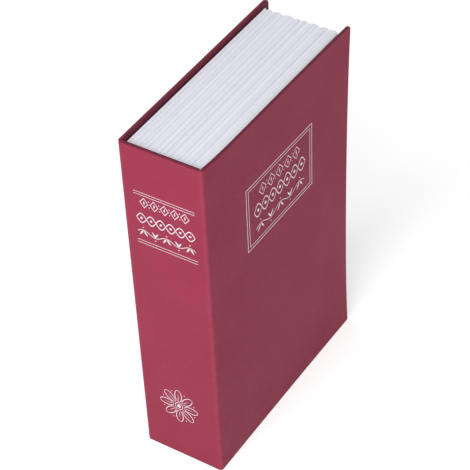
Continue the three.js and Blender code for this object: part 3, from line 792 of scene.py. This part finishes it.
# %% Three mitred strips
def page_strip(name, node, start, end, turn, mitres):
    """A strip from start to end. It is made flat, with its leaves up, and turned into place."""
    bm = bmesh.new()
    tone = bm.verts.layers.float.new(LEAF_LIGHT_AND_TONE)
    rows = len(LEAF_ROWS) - 1
    bmesh.ops.create_grid(bm, x_segments=1, y_segments=rows, size=0.5)
    for vert in bm.verts:
        across, below, bright = LEAF_ROWS[round((vert.co.y + 0.5) * rows)]
        vert.co = (end if vert.co.x > 0 else start, across, -below)
        vert[tone] = bright
    sunk = bmesh.ops.extrude_face_region(bm, geom=bm.faces[:])["geom"]
    for vert in sunk:
        if isinstance(vert, bmesh.types.BMVert):
            vert.co.z = -STRIP_DEPTH
    bmesh.ops.recalc_face_normals(bm, faces=bm.faces)
    bmesh.ops.dissolve_limit(bm, angle_limit=FLAT, verts=bm.verts, edges=bm.edges)
    for place, normal in mitres:
        cut_off(bm, place, normal)
    bmesh.ops.recalc_face_normals(bm, faces=bm.faces)
    underside = max(bm.faces, key=lambda face: -face.normal.z * face.calc_area())
    bmesh.ops.inset_region(bm, faces=[underside], thickness=MOULDING, use_even_offset=True)
    bmesh.ops.translate(bm, verts=underside.verts, vec=(0, 0, HOLLOW))
    bmesh.ops.transform(bm, verts=bm.verts, matrix=turn)
    swell(bm)
    bmesh.ops.recalc_face_normals(bm, faces=bm.faces)
    strip = as_piece(name, bm, PAGE_PLASTIC)
    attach(strip, "case")
    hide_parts(node)


def seated(along, out, level):
    """The turn that lays a strip's length along one axis and points its leaves along another."""
    across = Vector((0, 1, 0))
    columns = Matrix((along, across, out)).transposed().to_4x4()
    return Matrix.Translation(Vector(out) * level) @ columns


def mitre(corner, way):
    """A cut at 45 degrees through a strip's upper corner, given as its place and direction."""
    return (corner - way * MITRE_GAP, 0, 0), (way, 0, -1)


page_strip(
    "head_leaves", "head_page_edge", head_low.x, fore_high.x,
    seated((1, 0, 0), (0, 0, 1), head_high.z), [mitre(fore_high.x, 1)],
)
page_strip(
    "tail_leaves", "tail_page_edge", tail_low.x, fore_high.x,
    seated((1, 0, 0), (0, 0, -1), -tail_low.z), [mitre(fore_high.x, 1)],
)
page_strip(
    "fore_leaves", "fore_page_edge", tail_low.z, head_high.z,
    seated((0, 0, 1), (1, 0, 0), fore_high.x), [mitre(head_high.z, 1), mitre(tail_low.z, -1)],
)

# %% [markdown]
# ## Silver foil ornament
# The foil is stamped on the paper with a heated brass die, so every stroke is a thin film with
# slightly soft edges. The strokes are drawn as curves, because a curve can change its width from
# point to point, which is what makes tooled ornament lively. Each curve is a round tube; turned
# into a mesh and pressed flat, it becomes a low rounded ribbon that catches the light.

# %% Strokes of foil
PRESSED = 0.09
FOIL_SIDES = 3
LONGEST_STEP = 4.0


def between(start, end):
    """Places on a long straight stroke, so that it can follow the bow of the cover."""
    count = int((end - start).length / LONGEST_STEP)
    return [start.lerp(end, (index + 1) / (count + 1)) for index in range(count)]


class Stamp:
    """A die: strokes drawn in mm on a flat sheet, u to the right and v up."""

    def __init__(self, name):
        self.name = name
        self.curve = bpy.data.curves.new(name, "CURVE")
        self.curve.dimensions = "3D"
        self.curve.bevel_depth = 0.5
        self.curve.bevel_resolution = FOIL_SIDES
        self.curve.use_fill_caps = True
        self.dots = []

    def stroke(self, points, widths, closed=False):
        spline = self.curve.splines.new("POLY")
        spline.points.add(len(points) - 1)
        spline.use_cyclic_u = closed
        for knot, (u, v), width in zip(spline.points, points, widths):
            knot.co = (u, v, 0, 1)
            knot.radius = width

    def line(self, start, end, width):
        self.stroke([start, end], [width, width])

    def outline(self, corners, width):
        """A closed outline that keeps its width round the corners."""
        corners = [Vector(corner) for corner in corners]
        points, widths = [], []
        for before, here, after in zip(corners[-1:] + corners, corners, corners[1:] + corners):
            back, ahead = (before - here).normalized(), (after - here).normalized()
            half_angle = back.angle(ahead) / 2
            reach = width / 2 / math.tan(half_angle)
            side = between(here + ahead * reach, after - ahead * reach)
            points += [here + back * reach, here, here + ahead * reach] + side
            widths += [width, width / math.sin(half_angle), width] + [width] * len(side)
        self.stroke(points, widths, closed=True)

    def dot(self, u, v, across):
        self.dots.append((u, v, across))

    def press(self, place, body):
        """Flattens the strokes and dots, lays them on the case and makes them one piece."""
        drawn = in_scene(self.name, self.curve)
        depsgraph = bpy.context.evaluated_depsgraph_get()
        tubes = bpy.data.meshes.new_from_object(drawn.evaluated_get(depsgraph))
        bpy.data.objects.remove(drawn)
        bm = bmesh.new()
        bm.from_mesh(tubes)
        bpy.data.meshes.remove(tubes)
        for u, v, across in self.dots:
            bmesh.ops.create_uvsphere(
                bm, u_segments=12, v_segments=6, radius=across / 2,
                matrix=Matrix.Translation((u, v, 0)),
            )
        flat = Matrix.Diagonal((MM, MM, MM * PRESSED, 1))
        bmesh.ops.transform(bm, verts=bm.verts, matrix=place @ flat)
        bmesh.ops.remove_doubles(bm, verts=bm.verts, dist=WELD / 4)
        bmesh.ops.recalc_face_normals(bm, faces=bm.faces)
        foil = as_piece(self.name, bm, SILVER_FOIL)
        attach(foil, body)
        return foil


print("thickness of a stroke, as a share of its width:", PRESSED)


# %% Foil finish
def silver_foil():
    finish = Finish("silver_foil", Metallic=0.35, Roughness=0.34)
    place = finish.place()
    patches = finish.noise(place, 500.0, 3.0, 0.6).step(0.35, 0.7)
    pinholes = finish.noise(place, 5200.0, 2.0, 0.7).step(0.66, 0.76)
    colour = finish.mixed(patches, paint(0.86, 0.80, 0.82), paint(0.78, 0.71, 0.74))
    finish.feed(Base_Color=finish.mixed(pinholes * 0.6, colour, paint(0.55, 0.25, 0.30)))
    finish.feed(Roughness=0.28 + patches * 0.14)
    finish.emboss(finish.noise(place, 2400.0, 2.0), 0.008 * MM)
    return finish.material


SILVER_FOIL = silver_foil()
print("finish:", SILVER_FOIL.name)

# %% [markdown]
# ## Motifs
# Binders build ornament from a few small tools: a lozenge, a dot, a leaf and a wave. Each motif
# here is a function that strikes such tools in a row, with a width and a height, so that the same
# three rows fit the narrow spine and the wide front cover.

# %% Lozenges, waves, leaves and a vine
FINE, BOLD = 0.42, 0.7


def lozenges(stamp, v, width, height, count):
    """Lozenges with a solid heart, and a pair of dots between each two."""
    pitch = width / count
    for index in range(count):
        u = -width / 2 + (index + 0.5) * pitch
        reach, rise = pitch * 0.40, height / 2
        stamp.outline([(u - reach, v), (u, v - rise), (u + reach, v), (u, v + rise)], FINE)
        heart = 0.42
        stamp.stroke([(u, v - rise * heart), (u, v), (u, v + rise * heart)], [0.1, BOLD * 1.3, 0.1])
        if index:
            for side in (-1, 1):
                stamp.dot(u - pitch / 2, v + side * rise * 0.62, BOLD)


def guilloche(stamp, v, width, height, count):
    """Two waves that cross, with a dot in each eye."""
    steps = 16 * count
    for side in (-1, 1):
        points, widths = [], []
        for step in range(steps + 1):
            turn = math.pi * count * step / steps
            points.append((-width / 2 + width * step / steps, v + side * height / 2 * math.sin(turn)))
            widths.append(FINE + (BOLD - FINE) * abs(math.sin(turn)))
        stamp.stroke(points, widths)
    for index in range(count):
        stamp.dot(-width / 2 + (index + 0.5) * width / count, v, height * 0.24)


def leaf(stamp, base, angle, length, width, line):
    """A pointed oval from its base, drawn as one closed stroke that is fullest at the sides."""
    ahead = Vector((math.cos(angle), math.sin(angle)))
    aside = Vector((-ahead.y, ahead.x))
    steps = 14
    points, widths = [], []
    for step in range(2 * steps):
        turn = math.pi * step / steps
        along = (1 - math.cos(turn)) / 2
        points.append(Vector(base) + ahead * length * along + aside * width / 2 * math.sin(turn))
        widths.append(line * (0.6 + 0.6 * abs(math.sin(turn))))
    stamp.stroke(points, widths, closed=True)


def blade(stamp, base, angle, length, width):
    """A solid pointed leaf, from its base."""
    ahead = Vector((math.cos(angle), math.sin(angle)))
    shares = (0.0, 0.2, 0.4, 0.6, 0.8, 1.0)
    points = [Vector(base) + ahead * length * share for share in shares]
    stamp.stroke(points, [0.12 + width * math.sin(math.pi * share ** 0.8) for share in shares])


def vine(stamp, v, width, height, count):
    """A wavy stem with two leaves in each bend and a berry over each crest."""
    steps = 12 * count
    pitch, swing = width / count, height * 0.2
    stem = []
    for step in range(steps + 1):
        turn = math.pi * count * step / steps
        stem.append((-width / 2 + width * step / steps, v + swing * math.sin(turn)))
    stamp.stroke(stem, [FINE] * len(stem))
    for index in range(count):
        side = 1 - 2 * (index % 2)
        u, crest = -width / 2 + (index + 0.5) * pitch, v + side * swing
        for lean in (-1, 1):
            angle = -side * math.pi / 2 + lean * math.radians(34)
            blade(stamp, (u + lean * 0.25, crest - side * 0.5), angle, height * 0.55, 1.0)
        stamp.dot(u, v + side * (height / 2 - BOLD / 2), BOLD * 1.2)


def rosette(stamp, u, v, radius, petals):
    """A ring and a heart, long petals round it and a dot between each two."""
    ring, steps = radius * 0.2, 24
    circle = [2 * math.pi * step / steps for step in range(steps)]
    points = [(u + ring * math.cos(turn), v + ring * math.sin(turn)) for turn in circle]
    stamp.stroke(points, [FINE] * steps, closed=True)
    stamp.dot(u, v, ring)
    for petal in range(petals):
        angle = 2 * math.pi * petal / petals
        away = Vector((math.cos(angle), math.sin(angle)))
        base = Vector((u, v)) + away * ring * 1.45
        leaf(stamp, base, angle, radius - ring * 1.45, radius * 0.36, FINE)
        stamp.stroke([base + away * 1.2, base + away * radius * 0.45], [FINE, 0.1])
        halfway = angle + math.pi / petals
        stamp.dot(u + radius * 0.88 * math.cos(halfway), v + radius * 0.88 * math.sin(halfway), BOLD)


print("line widths in mm:", FINE, BOLD)

# %% The spine's foil
def laid_on(right, out, place):
    """The turn that lays a flat drawing on a face of the case, upright."""
    upwards = Vector((0, 0, 1))
    columns = Matrix((right, upwards, out)).transposed().to_4x4()
    return Matrix.Translation(place) @ columns


RULE_WIDTH = 40.5
RULES = (32.0, 33.8, 68.0, 70.0)
RULE = 0.32
SPINE_FOIL_ASIDE = -0.6 * MM

spine_stamp = Stamp("spine_foil")
for below_head in RULES:
    spine_stamp.line((-RULE_WIDTH / 2, -below_head), (RULE_WIDTH / 2, -below_head), RULE)
lozenges(spine_stamp, v=-39.0, width=34.0, height=6.8, count=5)
guilloche(spine_stamp, v=-51.0, width=39.0, height=6.6, count=6)
vine(spine_stamp, v=-61.3, width=39.0, height=7.6, count=5)
rosette(spine_stamp, u=-1.7, v=-196.6, radius=13.6, petals=8)
on_spine = laid_on((0, -1, 0), (-1, 0, 0), (SPINE, SPINE_FOIL_ASIDE, HEAD))
spine_stamp.press(on_spine, "case")

# %% The front cover's foil
FRAME_MIDDLE = (-0.45, -67.5)
FRAME_OUTER = (72.0, 46.4)
FRAME_LINES = ((0.2, 0.48), (2.5, 0.38))

front_stamp = Stamp("front_foil")
for inset, line in FRAME_LINES:
    reach, rise = FRAME_OUTER[0] / 2 - inset, FRAME_OUTER[1] / 2 - inset
    front_stamp.outline([(-reach, -rise), (reach, -rise), (reach, rise), (-reach, rise)], line)
lozenges(front_stamp, v=13.0, width=46.0, height=8.8, count=5)
guilloche(front_stamp, v=0.6, width=56.0, height=9.2, count=7)
vine(front_stamp, v=-12.6, width=54.0, height=9.8, count=5)
on_front = laid_on((1, 0, 0), (0, -1, 0), (FRAME_MIDDLE[0] * MM, FRONT, HEAD + FRAME_MIDDLE[1] * MM))
front_foil = front_stamp.press(on_front, "front_cover")
bow(front_foil)

# %% [markdown]
# ## Steel, zinc, chrome and brass
# The tray and its lid are sheet steel, folded and powder coated: a near-black satin with the
# shallow ripple that paint gets when powder melts. Hinge, washers and nut are zinc plated, which
# is a grey, slightly cloudy metal. The lock's body is chromed and its plug is turned brass.
# Real sheet has no razor edges, so the larger parts are copied, welded and given a small bevel.

# %% Metal finishes
def powder_coat():
    finish = Finish("powder_coat", Roughness=0.42, Specular_IOR_Level=0.5)
    place = finish.place()
    ripple = finish.noise(place, 900.0, 2.0, 0.55)
    clouds = finish.noise(place, 60.0, 2.0).step(0.3, 0.7)
    dust = finish.noise(place, 5000.0, 1.0).step(0.62, 0.75)
    colour = finish.mixed(clouds, paint(0.018, 0.019, 0.021), paint(0.026, 0.027, 0.030))
    finish.feed(Base_Color=finish.mixed(dust * 0.3, colour, paint(0.09, 0.09, 0.095)))
    finish.feed(Roughness=0.38 + ripple * 0.14)
    finish.emboss(ripple, 0.05 * MM, 0.7)
    return finish.material


def plated(name, bright, dull, roughness, stretch, depth):
    """A plated metal with fine tool marks that run along one axis."""
    finish = Finish(name, Metallic=1.0, Roughness=roughness)
    place = finish.place()
    marks = finish.noise(finish.stretched(place, stretch), 1.0, 3.0, 0.6)
    bloom = finish.noise(place, 320.0, 3.0, 0.6).step(0.35, 0.7)
    finish.feed(Base_Color=finish.mixed(bloom * 0.7, bright, dull))
    finish.feed(Roughness=roughness + bloom * 0.10 + marks * 0.10 - 0.05)
    finish.emboss(marks, depth, 0.5)
    return finish.material


POWDER_COAT = powder_coat()
ZINC = plated(
    "zinc_plate", paint(0.52, 0.53, 0.54), paint(0.38, 0.385, 0.38), 0.32, (900, 900, 2600), 0.01 * MM,
)
CHROME = plated(
    "lock_chrome", paint(0.66, 0.67, 0.69), paint(0.60, 0.61, 0.63), 0.12, (400, 400, 400), 0.002 * MM,
)
BRASS = plated(
    "lock_brass", paint(0.62, 0.43, 0.16), paint(0.50, 0.33, 0.11), 0.26, (700, 700, 700), 0.005 * MM,
)
print("finishes:", [metal.name for metal in (POWDER_COAT, ZINC, CHROME, BRASS)])

# %% Softened copies of the metal parts
SHARP_ABOVE = math.radians(50)


def softened(node, name, body, material, radius):
    """A copy of a CAD part with its sharp edges rounded."""
    bm = copy_of(node)
    sharp = [
        edge for edge in bm.edges
        if len(edge.link_faces) == 2 and edge.calc_face_angle(0) > SHARP_ABOVE
    ]
    rounded(bm, sharp, radius, 2, clamped=True)
    part = as_piece(name, bm, material)
    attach(part, body)
    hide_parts(node)


softened("safe_tray", "tray", "case", POWDER_COAT, 0.25 * MM)
softened("lid_plate", "lid", "lid", POWDER_COAT, 0.25 * MM)
softened("lock_body", "lock_barrel", "lid", CHROME, 0.12 * MM)
softened("lock_nut", "nut", "lid", ZINC, 0.25 * MM)
softened("lock_cam", "cam", "lock_rotor", ZINC, 0.2 * MM)
softened("lock_plug", "plug", "lock_rotor", BRASS, 0.08 * MM)
for node in ("tray_hinge_leaf", "hinge_pin", "lid_hinge_leaf", "lock_washer", "cam_washer", "cam_screw"):
    put_finish(node, ZINC)

# %% [markdown]
# ## Floor, light and background
# The object stands on a plain pale floor under one large soft lamp on the spine's side, with
# an even grey sky to fill the shadows. The floor takes light and shadow as plaster would. What the
# camera and mirrors see of it gets a little glow on top, so that open floor reads as white paper
# while the shadow under the book stays.

# %% Floor and sky
FLOOR_SIZE = 6.0
FLOOR_ALBEDO = 0.80
FLOOR_GLOW = 0.46
SKY = 0.40


def seen_directly(tree):
    """1 for rays from the camera, or by way of a mirror or a window, and 0 for light that spreads."""
    path = tree.nodes.new("ShaderNodeLightPath")
    total = None
    for name in ("Is Camera Ray", "Is Glossy Ray", "Is Transmission Ray"):
        if total is None:
            total = path.outputs[name]
            continue
        larger = tree.nodes.new("ShaderNodeMath")
        larger.operation = "MAXIMUM"
        tree.links.new(total, larger.inputs[0])
        tree.links.new(path.outputs[name], larger.inputs[1])
        total = larger.outputs[0]
    return total


def lay_floor():
    bm = bmesh.new()
    bmesh.ops.create_grid(bm, x_segments=1, y_segments=1, size=FLOOR_SIZE / 2)
    mesh = bpy.data.meshes.new("floor")
    bm.to_mesh(mesh)
    bm.free()
    floor = in_scene("floor", mesh)
    floor.location.z = TAIL
    material = bpy.data.materials.new("floor")
    material.use_nodes = True
    tree = material.node_tree
    tree.nodes.remove(tree.nodes["Principled BSDF"])
    plaster = tree.nodes.new("ShaderNodeBsdfDiffuse")
    plaster.inputs["Color"].default_value = paint(FLOOR_ALBEDO, FLOOR_ALBEDO, FLOOR_ALBEDO)
    glow = tree.nodes.new("ShaderNodeEmission")
    scaled = tree.nodes.new("ShaderNodeMath")
    scaled.operation = "MULTIPLY"
    scaled.inputs[1].default_value = FLOOR_GLOW
    tree.links.new(seen_directly(tree), scaled.inputs[0])
    tree.links.new(scaled.outputs[0], glow.inputs["Strength"])
    both = tree.nodes.new("ShaderNodeAddShader")
    tree.links.new(plaster.outputs[0], both.inputs[0])
    tree.links.new(glow.outputs[0], both.inputs[1])
    tree.links.new(both.outputs[0], tree.nodes["Material Output"].inputs["Surface"])
    mesh.materials.append(material)


def hang_sky():
    world = bpy.data.worlds.new("sky")
    bpy.context.scene.world = world
    world.use_nodes = True
    tree = world.node_tree
    fill = tree.nodes["Background"]
    fill.inputs["Color"].default_value = paint(1, 1, 1)
    fill.inputs["Strength"].default_value = SKY
    white = tree.nodes.new("ShaderNodeBackground")
    white.inputs["Strength"].default_value = 1.0
    white.inputs["Color"].default_value = paint(1, 1, 1)
    mix = tree.nodes.new("ShaderNodeMixShader")
    tree.links.new(seen_directly(tree), mix.inputs["Fac"])
    tree.links.new(fill.outputs[0], mix.inputs[1])
    tree.links.new(white.outputs[0], mix.inputs[2])
    tree.links.new(mix.outputs[0], tree.nodes["World Output"].inputs["Surface"])


lay_floor()
hang_sky()
print("floor side in m:", FLOOR_SIZE, "sky:", SKY)

# %% One large soft lamp
LAMP_FROM = Vector((-0.73, -0.10, 0.66))
LAMP_AWAY = 2.0
LAMP_SIDE = 1.4
LAMP_WATTS = 35.0


def hang_lamp():
    data = bpy.data.lights.new("soft_lamp", "AREA")
    data.shape = "SQUARE"
    data.size = LAMP_SIDE
    data.energy = LAMP_WATTS
    lamp = in_scene("soft_lamp", data)
    lamp.location = Vector((0, 0, HEAD / 2)) + LAMP_FROM.normalized() * LAMP_AWAY
    lamp.rotation_euler = (-LAMP_FROM).to_track_quat("-Z", "Y").to_euler()


hang_lamp()
print("lamp in W:", LAMP_WATTS)

# %% [markdown]
# ## The camera
# The photographer stood close to the book's front corner and looked well down on it, with the
# camera tipped by three degrees. The place and the lens were worked out from the seven
# corners of the book that the photograph shows.

# %% Camera
CAMERA_PLACE = Vector((-0.6959, -0.4672, 0.8680))
CAMERA_AZIMUTH = math.radians(-55.79)
CAMERA_ELEVATION = math.radians(41.62)
CAMERA_ROLL = math.radians(-3.12)
CAMERA_LENS = 142.1


def place_camera():
    data = bpy.data.cameras.new("camera")
    data.lens = CAMERA_LENS
    data.sensor_width = 36.0
    data.clip_start = 0.01
    camera = in_scene("camera", data)
    flat = math.cos(CAMERA_ELEVATION)
    back = Vector((
        math.sin(CAMERA_AZIMUTH) * flat,
        -math.cos(CAMERA_AZIMUTH) * flat,
        math.sin(CAMERA_ELEVATION),
    ))
    level = (-back).to_track_quat("-Z", "Y")
    camera.rotation_mode = "QUATERNION"
    camera.rotation_quaternion = level @ Matrix.Rotation(CAMERA_ROLL, 4, "Z").to_quaternion()
    camera.location = CAMERA_PLACE
    bpy.context.scene.camera = camera


place_camera()
bpy.context.scene.view_settings.view_transform = "Standard"
print("lens in mm:", CAMERA_LENS)

# %% [markdown]
# ## The end
# At the end the view layer is brought up to date.

# %% The end
bpy.context.view_layer.update()
